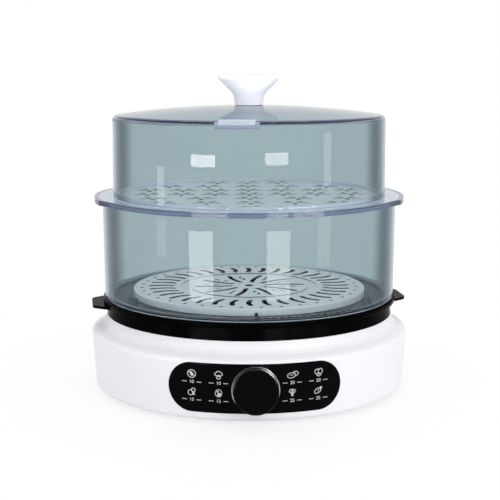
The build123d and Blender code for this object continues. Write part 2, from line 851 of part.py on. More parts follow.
# ---------------------------------------------------------------- drip tray
def make_drip_tray():
    seat_inner = tray_plug_radius - tray_wall
    floor_top = tray_floor_height + tray_wall
    body = turned([
        (chimney_radius, tray_floor_height), (tray_plug_radius, tray_floor_height),
        (tray_plug_radius, tray_seat), (tray_radius + tray_foot_flare, tray_seat),
        (tray_radius, tray_rim_underside), (tray_rim_radius, tray_rim_underside),
        (tray_rim_radius, tray_top_height), (tray_inner_radius, tray_top_height),
        (tray_inner_radius, tray_seat + tray_wall), (seat_inner, tray_seat + tray_wall),
        (seat_inner, floor_top), (chimney_radius + chimney_wall, floor_top),
        (chimney_radius + chimney_wall, chimney_top_height), (chimney_radius, chimney_top_height),
    ], [0, tray_corner, 0, 0, 0, tray_rim_rounding, tray_rim_rounding, 0, 0, 0,
        tray_inner_corner, chimney_foot_rounding, chimney_lip_rounding, chimney_lip_rounding])
    low = tray_rim_underside - tray_handle_thickness
    root_x = sqrt(tray_rim_radius**2 - tray_handle_root_half_width**2)
    handle = make_face(Polyline(
        (0, tray_handle_root_half_width), (root_x, tray_handle_root_half_width),
        (tray_handle_reach, tray_handle_tip_half_width), (tray_handle_reach, -tray_handle_tip_half_width),
        (root_x, -tray_handle_root_half_width), (0, -tray_handle_root_half_width), close=True,
    ))
    handle = fillet(handle.vertices().group_by(Axis.X)[-1], tray_handle_corner)
    handle = extrude(Pos(0, 0, low) * handle, tray_handle_thickness)
    handle -= upright(tray_radius - tray_wall / 2, low, tray_rim_underside)
    outer_edges = handle.edges().group_by(Axis.Z)[0].filter_by_position(Axis.X, root_x, tray_handle_reach)
    handle = fillet(outer_edges, tray_handle_edge)
    handles = copies_at(handle, (0, 180))
    return Rot(0, 0, tray_turn) * (body + handles)


# ---------------------------------------------------------------- lower bowl and its plate
def flange_outline():
    """Round flange with a wide wing on each side."""
    root_x = sqrt(flange_radius**2 - wing_root_half_width**2)
    wing = make_face(Polyline(
        (0, wing_root_half_width), (root_x, wing_root_half_width),
        (wing_radius, wing_half_width), (wing_radius, -wing_half_width),
        (root_x, -wing_root_half_width), (0, -wing_root_half_width), close=True,
    ))
    wing = wing & Circle(wing_radius)
    wing = fillet(wing.vertices().group_by(Axis.X)[-1], wing_corner)
    return Circle(flange_radius) + wing + mirror(wing, Plane.YZ)


def flange(low):
    """Winged plate that spans the whole outline."""
    return extrude(Pos(0, 0, low) * flange_outline(), flange_thickness)


def make_lower_bowl():
    inner = bowl_top_radius - bowl_wall
    body = turned([
        (bowl_floor_opening, bowl_floor), (spigot_radius, bowl_floor), (spigot_radius, bowl_foot),
        (bowl_foot_radius, bowl_foot), (bowl_top_radius, bowl_flange_top), (inner, bowl_flange_top),
        (bowl_foot_radius - bowl_wall, bowl_foot_top), (bowl_foot_inner_radius, bowl_foot_top),
        (bowl_foot_inner_radius, bowl_floor_top), (bowl_floor_opening, bowl_floor_top),
    ], [0, spigot_rounding, 0, bowl_foot_rounding, 0, 0,
        bowl_inner_rounding, bowl_step_rounding, bowl_step_rounding, 0])
    catch = block(
        (plate_radius + catch_gap, -catch_width / 2, bowl_floor_top - bowl_floor_thickness / 2),
        (plate_radius + catch_gap + catch_length, catch_width / 2, bowl_floor_top + catch_rise),
    )
    bore = upright(inner + bowl_wall / 2, flange_underside_height, bowl_flange_top)
    rim = flange(flange_underside_height) - bore
    lug_foot = bowl_floor_top - bowl_floor_thickness / 2
    lug_top = bowl_floor_top + lug_height
    lug = tube(lug_radius - lug_wall, lug_radius, lug_foot, lug_top)
    lug &= block((0, -lug_radius, lug_foot), (lug_radius, lug_radius, lug_top))
    catches = copies_at(catch, catch_angles)
    lugs = copies_at(Pos(lug_circle_radius, 0) * lug, lug_angles)
    return Rot(0, 0, bowl_turn) * (body + rim + catches + lugs)


def radial_slot(inner_radius, outer_radius, width, bulge=0.0, lean=0.0):
    """Slot along +X from the middle, bulging towards +Y, its outer end leaning clockwise."""
    start = (inner_radius + width / 2, 0)
    end = on_circle(outer_radius - width / 2, -lean)
    if not bulge:
        return SlotCenterToCenter(end[0] - start[0], width).moved(Pos((start[0] + end[0]) / 2, 0))
    middle = ((start[0] + end[0]) / 2, end[1] / 2 + bulge)
    return SlotArc(ThreePointArc(start, middle, end), width)


def make_steaming_plate():
    swirl = radial_slot(swirl_inner_radius, swirl_outer_radius, swirl_width, -swirl_bulge)
    star = radial_slot(star_inner_radius, star_outer_radius, star_width, star_bulge, star_lean)
    short = Sketch() + radial_slot(short_outer_end - short_outer_length, short_outer_end, short_width)
    short = Rot(0, 0, short_step) * short
    short += radial_slot(short_inner_end - short_inner_length, short_inner_end, short_width)
    rim_hole = Pos(rim_hole_circle_radius, 0) * Circle(rim_hole_radius)
    holes = Sketch() + Circle(plate_centre_hole)
    holes += copies_at(swirl, steps(swirl_count))
    holes += copies_at(rim_hole, [angle + 180 / swirl_count for angle in steps(swirl_count)])
    holes += copies_at(star, [angle + star_turn for angle in steps(star_count)])
    holes += copies_at(short, [angle + star_turn + 180 / star_count for angle in steps(star_count)])
    plate = upright(plate_radius, plate_foot, plate_top)
    plate = fillet(plate.edges().group_by(Axis.Z)[-1], plate_edge)
    plate -= upright(plate_radius - plate_skirt, plate_foot, plate_underside)
    plate -= tube(groove_inner_radius, groove_outer_radius, plate_top - plate_groove_depth, plate_top)
    notch = block(
        (plate_radius - 2 * plate_skirt, -plate_notch_width / 2, plate_foot),
        (plate_radius + plate_skirt, plate_notch_width / 2, plate_foot + plate_notch_height),
    )
    plate -= copies_at(notch, catch_angles)
    plate -= extrude(Pos(0, 0, plate_underside) * holes, plate_thickness)
    return Rot(0, 0, bowl_turn) * plate


# ---------------------------------------------------------------- upper tray
def rosette_places():
    """Middles of the rosettes, row by row from the front to the rear."""
    places = []
    middle = (len(rosette_counts) - 1) / 2
    for row, (count, pitch) in enumerate(zip(rosette_counts, rosette_pitches)):
        y = (row - middle) * rosette_row_pitch
        places += [(pitch * (step - (count - 1) / 2), y) for step in range(count)]
    return [(x, y) for x, y in places if hypot(x, y) <= rosette_reach]


def make_upper_tray():
    ring_radius = bowl_top_radius - bowl_wall - tray_ring_gap
    ring_foot = upper_tray_underside - tray_ring_depth
    tray = flange(upper_tray_underside)
    tray += tube(ring_radius - tray_ring_wall, ring_radius, ring_foot, upper_tray_underside)
    upstand_top = upper_tray_top + upstand_height
    tray += tube(upstand_radius - upstand_wall, upstand_radius, upper_tray_top, upstand_top)
    petal = radial_slot(petal_inner_radius, petal_outer_radius + petal_width / 2, petal_width)
    rosette = Sketch() + copies_at(petal, [angle - 90 for angle in steps(petal_count)])
    cutter = extrude(Pos(0, 0, upper_tray_underside) * rosette, flange_thickness)
    tray -= [Pos(x, y) * cutter for x, y in rosette_places()]
    return Rot(0, 0, bowl_turn) * tray


# ---------------------------------------------------------------- lid and its knob
def lid_body(inset, foot):
    """Solid lid shape, or its inside when inset by the wall."""
    rounding = lid_shoulder_rounding - inset
    wall_top = lid_shoulder_height - lid_shoulder_rounding
    bend = lid_top_radius - lid_shoulder_rounding
    shoulder = lid_shoulder_height - inset
    apex = lid_apex_height - inset
    turn = rounding * sin(radians(45))
    chord_rise = apex - shoulder
    sphere = (bend**2 + chord_rise**2) / (2 * chord_rise)
    middle = (bend / 2, apex - sphere + sqrt(sphere**2 - (bend / 2)**2))
    wall = lid_top_radius - inset
    outline = Polyline((0, apex), (0, foot), (lid_bottom_radius - inset, foot), (wall, wall_top))
    outline += ThreePointArc((wall, wall_top), (bend + turn, wall_top + turn), (bend, shoulder))
    outline += ThreePointArc((bend, shoulder), middle, (0, apex))
    return revolve(Plane.XZ * make_face(outline), Axis.Z)


def vent_recess(grow):
    """Block that the vent recess takes out of the dome, or its lining when grown by the wall."""
    half = vent_recess_width / 2 + grow
    low = (-half, -lid_bottom_radius, vent_recess_floor_height - grow)
    return block(low, (half, grow - vent_recess_back, lid_apex_height))


def make_lid_shell():
    outer = lid_body(0, lid_foot) - vent_recess(0)
    inner = lid_body(lid_wall, lid_foot) - vent_recess(lid_wall)
    lid = outer - inner
    lid += upright(lid_pad_radius, lid_pad_underside, grip_foot)
    lid -= upright(grip_screw_radius + screw_hole_gap, lid_pad_underside, grip_foot)
    half = vent_slot_opening_width / 2
    low = vent_recess_floor_height + vent_slot_rise
    lid -= block(
        (-half, -lid_bottom_radius, low),
        (half, 2 * lid_wall - vent_recess_back, low + vent_slot_opening_height),
    )
    return Rot(0, 0, lid_turn) * lid


def make_lid_knob():
    outer = turned([
        (0, grip_foot), (grip_waist_radius, grip_foot), (grip_waist_radius, grip_cone_foot_height),
        (grip_radius, grip_cone_top_height), (grip_radius, grip_top_height),
        (grip_cap_radius + grip_cap_gap, grip_top_height), (grip_cap_radius + grip_cap_gap, grip_cap_top),
        (0, grip_cap_top),
    ], [0, grip_foot_rounding, grip_waist_rounding, grip_under_rounding, grip_edge_rounding, 0, 0, 0])
    cap_floor = grip_cap_top - grip_cap_thickness
    outer -= upright(grip_cap_radius + grip_cap_gap, cap_floor, grip_cap_top)
    slope = (grip_radius - grip_waist_radius) / (grip_cone_top_height - grip_cone_foot_height)
    top_radius = grip_cap_radius - grip_wall
    depth = grip_cone_top_height - grip_cone_foot_height
    low_radius = top_radius - slope * (depth - grip_wall)
    hollow_foot = cap_floor - (depth - grip_wall)
    hollow = turned([(0, hollow_foot), (low_radius, hollow_foot), (top_radius, cap_floor), (0, cap_floor)])
    outer -= hollow
    outer += upright(grip_post_radius, hollow_foot - grip_wall, cap_floor - grip_wall)
    bore = grip_screw_radius + screw_bore_gap
    return outer - upright(bore, grip_foot, lid_pad_underside + grip_screw_length)


def make_knob_cap():
    low = grip_cap_top - grip_cap_thickness
    cap = upright(grip_cap_radius, low, grip_cap_top)
    return fillet(cap.edges().group_by(Axis.Z)[-1], grip_cap_rounding)


def make_knob_washer():
    low = lid_pad_underside - washer_thickness
    return tube(grip_screw_radius + screw_hole_gap, washer_radius, low, lid_pad_underside)


def make_knob_screw():
    seat = lid_pad_underside - washer_thickness
    length = grip_screw_length - screw_tip_gap
    return Pos(0, 0, seat) * screw(length, grip_screw_radius, grip_screw_head_radius, grip_screw_head_height)


# ---------------------------------------------------------------- export
def main():
    nodes = {
        "base_housing": make_base_housing,
        "bottom_cover": make_bottom_cover,
        "rubber_feet": make_rubber_feet,
        "bottom_screws": make_bottom_screws,
        "water_tank": make_water_tank,
        "tank_screws": make_tank_screws,
        "heating_plate": make_heating_plate,
        "tank_seal": make_tank_seal,
        "heating_element": make_heating_element,
        "element_terminals": make_element_terminals,
        "heater_clamp": make_heater_clamp,
        "clamp_screws": make_clamp_screws,
        "thermostat": make_thermostat,
        "thermal_fuse": make_thermal_fuse,
        "panel_overlay": make_panel_overlay,
        "knob_bezel": make_knob_bezel,
        "control_board": make_control_board,
        "board_screws": make_board_screws,
        "indicator_leds": make_indicator_leds,
        "encoder_body": make_encoder_body,
        "encoder_plunger": make_encoder_plunger,
        "encoder_shaft": make_encoder_shaft,
        "control_knob": make_control_knob,
        "power_board": make_power_board,
        "power_board_screws": make_power_board_screws,
        "relay": make_relay,
        "transformer": make_transformer,
        "terminal_block": make_terminal_block,
        "buzzer": make_buzzer,
        "cord_gland": make_cord_gland,
        "drip_tray": make_drip_tray,
        "lower_bowl": make_lower_bowl,
        "steaming_plate": make_steaming_plate,
        "upper_tray": make_upper_tray,
        "lid_shell": make_lid_shell,
        "lid_knob": make_lid_knob,
        "knob_cap": make_knob_cap,
        "knob_washer": make_knob_washer,
        "knob_screw": make_knob_screw,
    }
    os.makedirs("parts", exist_ok=True)
    for name, make in nodes.items():
        shape = make()
        if isinstance(shape, list):
            shape = Compound(children=shape)
        export_step(shape, f"parts/{name}.step")


main()
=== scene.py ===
import json
import math

import bmesh
import bpy
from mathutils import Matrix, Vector


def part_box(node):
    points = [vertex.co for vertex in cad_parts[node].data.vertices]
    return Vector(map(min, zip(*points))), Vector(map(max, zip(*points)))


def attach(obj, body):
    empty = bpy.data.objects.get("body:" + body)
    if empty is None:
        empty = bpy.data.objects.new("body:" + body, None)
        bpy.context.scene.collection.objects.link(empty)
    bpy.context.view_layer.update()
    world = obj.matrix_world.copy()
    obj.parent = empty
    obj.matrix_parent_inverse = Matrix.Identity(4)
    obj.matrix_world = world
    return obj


MM = 0.001
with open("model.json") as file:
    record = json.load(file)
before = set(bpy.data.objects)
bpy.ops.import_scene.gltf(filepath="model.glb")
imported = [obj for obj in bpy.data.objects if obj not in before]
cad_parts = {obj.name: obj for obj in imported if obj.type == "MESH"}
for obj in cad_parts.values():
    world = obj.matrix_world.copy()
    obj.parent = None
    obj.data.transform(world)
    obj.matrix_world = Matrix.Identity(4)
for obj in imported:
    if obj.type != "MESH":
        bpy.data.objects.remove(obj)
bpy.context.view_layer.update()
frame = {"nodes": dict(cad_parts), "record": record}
cad = frame["nodes"]
scene = bpy.context.scene


# ------------------------------------------------------------------ node helpers
NOISE_LOW, NOISE_HIGH = 0.3, 0.7        # most of a noise texture's values lie between these


def new_material(name):
    mat = bpy.data.materials.new(name)
    mat.use_nodes = True
    tree = mat.node_tree
    tree.nodes.clear()
    out = tree.nodes.new("ShaderNodeOutputMaterial")
    shader = tree.nodes.new("ShaderNodeBsdfPrincipled")
    tree.links.new(shader.outputs["BSDF"], out.inputs["Surface"])
    return mat, tree, out, shader


def put(tree, socket, value):
    """Give a socket its value: another socket, a colour or a number."""
    if isinstance(value, bpy.types.NodeSocket):
        tree.links.new(value, socket)
    elif isinstance(value, tuple):
        socket.default_value = (*value, 1)
    else:
        socket.default_value = value


def joined(tree, operation, *values):
    """Math node."""
    node = tree.nodes.new("ShaderNodeMath")
    node.operation = operation
    for socket, value in zip(node.inputs, values):
        put(tree, socket, value)
    return node.outputs[0]


def blended(tree, factor, first, second, blend="MIX"):
    """Mix of two colours."""
    node = tree.nodes.new("ShaderNodeMix")
    node.data_type = "RGBA"
    node.blend_type = blend
    for socket, value in (("Factor", factor), ("A", first), ("B", second)):
        put(tree, node.inputs[socket], value)
    return node.outputs["Result"]


def mapped(tree, value, start, end, low=0.0, high=1.0):
    """Value that goes from low to high while the given one goes from start to end."""
    node = tree.nodes.new("ShaderNodeMapRange")
    limits = (("From Min", start), ("From Max", end), ("To Min", low), ("To Max", high))
    for socket, number in (("Value", value), *limits):
        put(tree, node.inputs[socket], number)
    return node.outputs["Result"]


def noise(tree, scale, detail):
    place = tree.nodes.new("ShaderNodeTexCoord")
    node = tree.nodes.new("ShaderNodeTexNoise")
    node.inputs["Scale"].default_value = scale
    node.inputs["Detail"].default_value = detail
    tree.links.new(place.outputs["Object"], node.inputs["Vector"])
    return node.outputs["Fac"]


def patchy(tree, scale, detail, low=0.0, high=1.0):
    """Value that drifts between low and high over the surface."""
    return mapped(tree, noise(tree, scale, detail), NOISE_LOW, NOISE_HIGH, low, high)


def bumped(tree, shader, scale, distance, detail):
    """Fine uneven surface, with its height in metres."""
    node = tree.nodes.new("ShaderNodeBump")
    node.inputs["Strength"].default_value = 1.0
    node.inputs["Distance"].default_value = distance
    tree.links.new(noise(tree, scale, detail), node.inputs["Height"])
    tree.links.new(node.outputs["Normal"], shader.inputs["Normal"])


def ramped(tree, value, tints):
    """Colour that goes through (value, colour) steps."""
    ramp = tree.nodes.new("ShaderNodeValToRGB")
    steps = ramp.color_ramp.elements
    while len(steps) < len(tints):
        steps.new(1.0)
    for step, (at, colour) in zip(steps, tints):
        step.position = at
        step.color = (*colour, 1)
    tree.links.new(value, ramp.inputs["Fac"])
    return ramp.outputs["Color"]


def mixed_shaders(tree, out, factor, first, second):
    """Surface that is the first shader at factor 0 and the second at 1."""
    mix = tree.nodes.new("ShaderNodeMixShader")
    for socket, value in zip(mix.inputs, (factor, first, second)):
        tree.links.new(value, socket)
    tree.links.new(mix.outputs["Shader"], out.inputs["Surface"])


def length(tree, vector):
    node = tree.nodes.new("ShaderNodeVectorMath")
    node.operation = "LENGTH"
    tree.links.new(vector, node.inputs[0])
    return node.outputs["Value"]


def measured(tree, source):
    """Where a point is, or which way it faces: its radius or height in metres, up (its normal's z) or
    level (the same without its sign)."""
    place = tree.nodes.new("ShaderNodeTexCoord")
    if source == "radius":
        flat = tree.nodes.new("ShaderNodeVectorMath")
        flat.operation = "MULTIPLY"
        flat.inputs[1].default_value = (1, 1, 0)
        tree.links.new(place.outputs["Object"], flat.inputs[0])
        return length(tree, flat.outputs["Vector"])
    split = tree.nodes.new("ShaderNodeSeparateXYZ")
    tree.links.new(place.outputs["Object" if source == "height" else "Normal"], split.inputs[0])
    if source == "level":
        return joined(tree, "ABSOLUTE", split.outputs["Z"])
    return split.outputs["Z"]


def region(tree, limits):
    """1 where every limit holds. A limit is (source, value that gives 0, value that gives 1)."""
    total = None
    for source, none, full in limits:
        part = mapped(tree, measured(tree, source), none, full)
        total = joined(tree, "MULTIPLY", total, part) if total else part
    return total


COLOUR_DETAIL, ROUGH_DETAIL, BUMP_DETAIL = 4.0, 3.0, 2.0
ROUGH_PATCH = 3                         # roughness drifts this many times as fast as colour


def finish(name, colour, rough, vary=0.04, patch=45.0, bump=(900.0, 0.00003), walls=None, **fixed):
    """Opaque finish: slightly uneven colour and roughness, and a fine surface.
    walls = (colour, limits) paints shade on a region, such as the walls of slots."""
    mat, tree, out, shader = new_material(name)
    darker = tuple(c * (1 - vary) for c in colour)
    shade = blended(tree, patchy(tree, patch, COLOUR_DETAIL), darker, colour)
    # Painted shade on the given region.
    if walls:
        shade = blended(tree, region(tree, walls[1]), shade, walls[0])
    tree.links.new(shade, shader.inputs["Base Color"])
    tree.links.new(patchy(tree, patch * ROUGH_PATCH, ROUGH_DETAIL, *rough), shader.inputs["Roughness"])
    bumped(tree, shader, *bump, BUMP_DETAIL)
    for socket, value in fixed.items():
        shader.inputs[socket.replace("_", " ")].default_value = value
    return mat


CLEAR_ABSORPTION = (36.0, 38.0, 25.0)       # per metre of plastic, for red, green and blue
CLEAR_LAMP_SHARE = (0.985, 0.975, 0.960)    # of a lamp's light that each surface lets through
CLEAR_IOR = 1.2
CLEAR_VARY = 0.03
CLEAR_PATCH, CLEAR_ROUGH_PATCH = (18.0, 2.0), (60.0, 3.0)   # scale and detail
CLEAR_WAVE = (14.0, 0.00002, 1.0)           # scale, height and detail of a moulding's faint waves


def clear(name, tints, top, rough, clouds):
    """See-through plastic that lets lamps through. tints and top = (slant, colour) steps, from 0 seen
    straight on to 1 seen edge on, top for the faces that look up or down; their darkening towards edge on
    is painted shade, partly standing in for the longer path through the plastic, and a lighter last step is
    a painted reflection.
    clouds = (colour, share, limits) make a region less clear and give it a colour, which for some regions
    is painted light or shade."""
    mat, tree, out, shader = new_material(name)
    facing = tree.nodes.new("ShaderNodeLayerWeight")
    slant = facing.outputs["Facing"]
    # Colour by the slant of the view: darker towards edge on as painted shade, with a painted reflection at
    # grazing on the sides.
    shade = blended(tree, region(tree, [FLAT]), ramped(tree, slant, tints), ramped(tree, slant, top))
    uneven = blended(tree, patchy(tree, *CLEAR_PATCH), (1 - CLEAR_VARY,) * 3, (1, 1, 1))
    shade = blended(tree, 1.0, shade, uneven, "MULTIPLY")
    clarity = None
    for colour, share, limits in clouds:
        within = region(tree, limits)
        shade = blended(tree, within, shade, colour)
        left = joined(tree, "MULTIPLY_ADD", within, -share, 1.0)
        clarity = joined(tree, "MULTIPLY", clarity, left) if clarity else left
    tree.links.new(clarity, shader.inputs["Transmission Weight"])
    tree.links.new(shade, shader.inputs["Base Color"])
    body = tree.nodes.new("ShaderNodeVolumeAbsorption")
    most = max(CLEAR_ABSORPTION)
    body.inputs["Color"].default_value = (*(1 - d / most for d in CLEAR_ABSORPTION), 1)
    body.inputs["Density"].default_value = most
    tree.links.new(body.outputs["Volume"], out.inputs["Volume"])
    tree.links.new(patchy(tree, *CLEAR_ROUGH_PATCH, *rough), shader.inputs["Roughness"])
    shader.inputs["IOR"].default_value = CLEAR_IOR
    bumped(tree, shader, *CLEAR_WAVE)
    through = tree.nodes.new("ShaderNodeBsdfTransparent")
    through.inputs["Color"].default_value = (*CLEAR_LAMP_SHARE, 1)
    path = tree.nodes.new("ShaderNodeLightPath")
    mixed_shaders(tree, out, path.outputs["Is Shadow Ray"], shader.outputs["BSDF"], through.outputs["BSDF"])
    return mat


# ------------------------------------------------------------------ finishes
# Limits that say where a colour goes: (what is measured, value that gives 0, value that gives 1)
FLAT = ("level", 0.90, 0.96)                # faces that look up or down
UPRIGHT = ("level", 0.60, 0.35)
IN_PLATE = ("radius", 0.1040, 0.1035)       # the plate without its outer wall
IN_HOLES = ("radius", 0.1177, 0.1172)       # as far out as the tray has holes
ON_DISC = ("radius", 0.1182, 0.1172)        # the tray's perforated disc
OFF_DISC = ("radius", 0.1172, 0.1182)
OFF_FLANGE = ("radius", 0.1252, 0.1248)
ON_FLANGE = ("radius", 0.1248, 0.1252)      # the flange of the tray or the bowl
ON_WINGS = ("radius", 0.1366, 0.1374)
ON_EDGE = ("radius", 0.1340, 0.1345)        # the flange's outermost face
BOWL_OUTSIDE = ("radius", 0.1285, 0.1292)
ON_SHOULDER = ("radius", 0.1172, 0.1180)    # where the lid's dome turns down into its side
IN_SHOULDER = ("radius", 0.1180, 0.1172)
OFF_MIDDLE = ("radius", 0.1000, 0.1020)
SHOULDER_TOP = ("up", 0.78, 0.88)
bowl_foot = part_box("lower_bowl")[0][2]
BOWL_FLOOR = ("height", bowl_foot + 0.0140, bowl_foot + 0.0120)
BOWL_FOOT = ("height", bowl_foot + 0.0031, bowl_foot + 0.0025)

# Colours of the clear pieces by slant, and of their regions. The darker steps towards edge on are painted
# shade, partly standing in for the longer path through thick plastic; the sides' bluer last step is a
# painted reflection seen at grazing.
WALL, PAINTED_EDGE_SHADE, PAINTED_GRAZE_REFLECTION = (0.65, 0.755, 0.745), (0.15, 0.21, 0.21), (0.30, 0.52, 0.60)
SIDES = ((0.50, WALL), (0.64, PAINTED_EDGE_SHADE), (0.77, PAINTED_EDGE_SHADE), (0.85, PAINTED_GRAZE_REFLECTION))
TOP = ((0.60, (0.62, 0.72, 0.75)), (0.90, (0.50, 0.62, 0.68)))
# The dome darkens towards edge on as painted shade.
DOME = (
    (0.35, (0.62, 0.72, 0.73)), (0.70, (0.42, 0.53, 0.61)),
    (0.80, (0.24, 0.40, 0.48)), (0.92, (0.08, 0.20, 0.26)),
)
# Painted shade lines on the flange's outer face and at the lid's shoulder, and a painted light band on the
# bowl's foot.
LILAC_PAINTED_SHADE, NAVY_PAINTED_SHADE, FOOT_PAINTED_LIGHT = (0.20, 0.25, 0.36), (0.10, 0.11, 0.24), (0.60, 0.63, 0.66)
# Painted shade: on the plate's slot walls, in the tray's holes, and on the bowl's floor ring where the
# black tray shows.
SLOT_PAINTED_SHADE, HOLE_PAINTED_SHADE, RING_PAINTED_SHADE = (0.10, 0.11, 0.12), (0.28, 0.30, 0.30), (0.20, 0.24, 0.27)
MILK, RAISED, VENT_WALL = (0.90, 0.91, 0.91), (0.90, 0.94, 0.96), (0.80, 0.83, 0.90)
# The first colour is painted light on the flange's top faces.
FLANGE_TOP_PAINTED_LIGHT, WING_TOP = (0.66, 0.77, 0.83), (0.18, 0.28, 0.34)
BLACK = (0.0015, 0.0015, 0.0017)
POLISH = (0.0, 0.012)                       # roughness of the clear pieces
LOOKS = {
    "white_shell": finish("white_shell", (0.89, 0.882, 0.905), (0.34, 0.40), vary=0.006, patch=6,
                          bump=(700.0, 0.000008), Specular_IOR_Level=0.3, Coat_Weight=0.04,
                          Coat_Roughness=0.12),
    "black_gloss": finish("black_gloss", BLACK, (0.10, 0.15), vary=0.3, patch=20,
                          bump=(300.0, 0.000012), Specular_IOR_Level=0.03),
    "black_matte": finish("black_matte", (0.02, 0.02, 0.022), (0.55, 0.7), vary=0.2),
    "grey_matte": finish("grey_matte", (0.36, 0.37, 0.38), (0.45, 0.6), vary=0.08),
    # The plate's slot walls get painted shade.
    "frosted_plastic": finish("frosted_plastic", (0.96, 0.93, 0.925), (0.10, 0.16), vary=0.03, patch=25,
                              bump=(1400.0, 0.00001), walls=(SLOT_PAINTED_SHADE, [UPRIGHT, IN_PLATE])),
    "steel": finish("steel", (0.62, 0.62, 0.60), (0.24, 0.36), vary=0.08, patch=30, Metallic=1.0),
    "aluminium": finish("aluminium", (0.72, 0.72, 0.73), (0.35, 0.5), vary=0.1, Metallic=1.0),
    "bezel_chrome": finish("bezel_chrome", (0.42, 0.41, 0.40), (0.14, 0.22), vary=0.05, Metallic=1.0),
    "screw_steel": finish("screw_steel", (0.55, 0.55, 0.56), (0.3, 0.45), vary=0.15, Metallic=1.0),
    "rubber": finish("rubber", (0.05, 0.05, 0.052), (0.75, 0.9), vary=0.2, bump=(1500.0, 0.00006)),
    "silicone": finish("silicone", (0.55, 0.20, 0.14), (0.5, 0.65), vary=0.1),
    "board_green": finish("board_green", (0.03, 0.20, 0.08), (0.35, 0.5), vary=0.25, patch=120),
    "led_white": finish("led_white", (0.86, 0.86, 0.82), (0.15, 0.25), vary=0.03),
    "component_blue": finish("component_blue", (0.05, 0.13, 0.42), (0.35, 0.5), vary=0.1),
    "component_yellow": finish("component_yellow", (0.78, 0.60, 0.12), (0.4, 0.55), vary=0.1),
    "cap_grey": finish("cap_grey", (0.50, 0.58, 0.56), (0.06, 0.12), vary=0.04, Coat_Weight=0.6),
}
FLANGE = [
    # Painted light on the flange's top faces.
    (FLANGE_TOP_PAINTED_LIGHT, 0.35, [ON_FLANGE, FLAT]),
    (WING_TOP, 0.0, [ON_WINGS, FLAT]),
    # Painted shade line on the flange's outermost face.
    (LILAC_PAINTED_SHADE, 0.25, [ON_EDGE, UPRIGHT]),
]
OWN_LOOKS = {
    "upper_tray": clear("clouded_plastic", SIDES, TOP, (0.0, 0.02), [
        (MILK, 0.85, [ON_DISC]),
        (RAISED, 0.50, [OFF_DISC, OFF_FLANGE]),
        # Painted shade on the walls of the tray's holes.
        (HOLE_PAINTED_SHADE, 0.0, [IN_HOLES, UPRIGHT]),
    ] + FLANGE),
    "lower_bowl": clear("clear_bowl", SIDES, TOP, POLISH, [
        # Painted shade on the bowl's floor ring, standing in for the dark tray seen there.
        (RING_PAINTED_SHADE, 0.0, [BOWL_FLOOR, FLAT]),
        # Painted light band round the bowl's foot, in place of light carried through the thick plastic.
        (FOOT_PAINTED_LIGHT, 0.75, [BOWL_FOOT, BOWL_OUTSIDE]),
    ] + FLANGE),
    "lid_shell": clear("clear_lid", SIDES, DOME, POLISH, [
        # Painted shade line where the dome turns down into the side.
        (NAVY_PAINTED_SHADE, 0.65, [ON_SHOULDER, SHOULDER_TOP]),
        (VENT_WALL, 0.6, [OFF_MIDDLE, IN_SHOULDER, UPRIGHT]),
    ]),
    "drip_tray": finish("tray_black", BLACK, (0.12, 0.2), vary=0.3, patch=20,
                        bump=(300.0, 0.000012), Specular_IOR_Level=0.006),
}
for part in frame["record"]["subparts"]:
    node = part["node"]
    look = OWN_LOOKS[node] if node in OWN_LOOKS else LOOKS[part["material_slot"]]
    cad[node].data.materials.clear()
    cad[node].data.materials.append(look)


# ------------------------------------------------------------------ panel print
# Sizes in mm. The panel leans out like the side of the base behind it.
PANEL_FOOT_RADIUS, PANEL_FOOT_HEIGHT = 142.35, 3.0
PANEL_LEAN = 3.4 / 51.6
PROUD, SUNK = 0.09, -0.05               # the print's front and back, from the panel's face


def on_panel(x, z, proud):
    r = PANEL_FOOT_RADIUS + (z - PANEL_FOOT_HEIGHT) * PANEL_LEAN + proud
    return Vector((x, -math.sqrt(r * r - x * x), z)) * MM


def add_shape(bm, ring):
    """Closed flat shape on the panel from an outline of (x, z) points in mm."""
    top = [bm.verts.new(on_panel(x, z, PROUD)) for x, z in ring]
    low = [bm.verts.new(on_panel(x, z, SUNK)) for x, z in ring]
    bm.faces.new(top)
    bm.faces.new(list(reversed(low)))
    for i in range(len(ring)):
        j = (i + 1) % len(ring)
        bm.faces.new((top[j], top[i], low[i], low[j]))


def add_line(bm, points, width, closed=False):
    """Line of even width along (x, z) points in mm."""
    n = len(points)
    left, right = [], []
    for i, (x, z) in enumerate(points):
        before = points[(i - 1) % n] if closed or i else points[i]
        after = points[(i + 1) % n] if closed or i < n - 1 else points[i]
        dx, dz = after[0] - before[0], after[1] - before[1]
        size = math.hypot(dx, dz) or 1.0
        nx, nz = -dz / size * width / 2, dx / size * width / 2
        left.append((x + nx, z + nz))
        right.append((x - nx, z - nz))
    rows = [[bm.verts.new(on_panel(x, z, d)) for x, z in side]
            for side, d in ((left, PROUD), (right, PROUD), (right, SUNK), (left, SUNK))]
    for i in range(n if closed else n - 1):
        j = (i + 1) % n
        for a in range(4):
            b = (a + 1) % 4
            bm.faces.new((rows[a][i], rows[a][j], rows[b][j], rows[b][i]))
    if not closed:
        bm.faces.new([rows[a][0] for a in range(4)])
        bm.faces.new([rows[a][-1] for a in (3, 2, 1, 0)])


def oval(cx, cz, rx, rz, lean=0.0, start=0.0, sweep=360.0, count=28):
    """Points of an ellipse or of its arc, leaning to the left, with angles in degrees."""
    c, s = math.cos(math.radians(lean)), math.sin(math.radians(lean))
    steps = count if sweep >= 360 else count + 1
    out = []
    for i in range(steps):
        t = math.radians(start + sweep * i / count)
        u, v = rx * math.cos(t), rz * math.sin(t)
        out.append((cx + u * c - v * s, cz + u * s + v * c))
    return out


def print_piece(name, bm):
    bmesh.ops.recalc_face_normals(bm, faces=bm.faces)
    mesh = bpy.data.meshes.new(name)
    bm.to_mesh(mesh)
    bm.free()
    obj = bpy.data.objects.new(name, mesh)
    scene.collection.objects.link(obj)
    mesh.materials.append(print_look)
    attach(obj, "base")


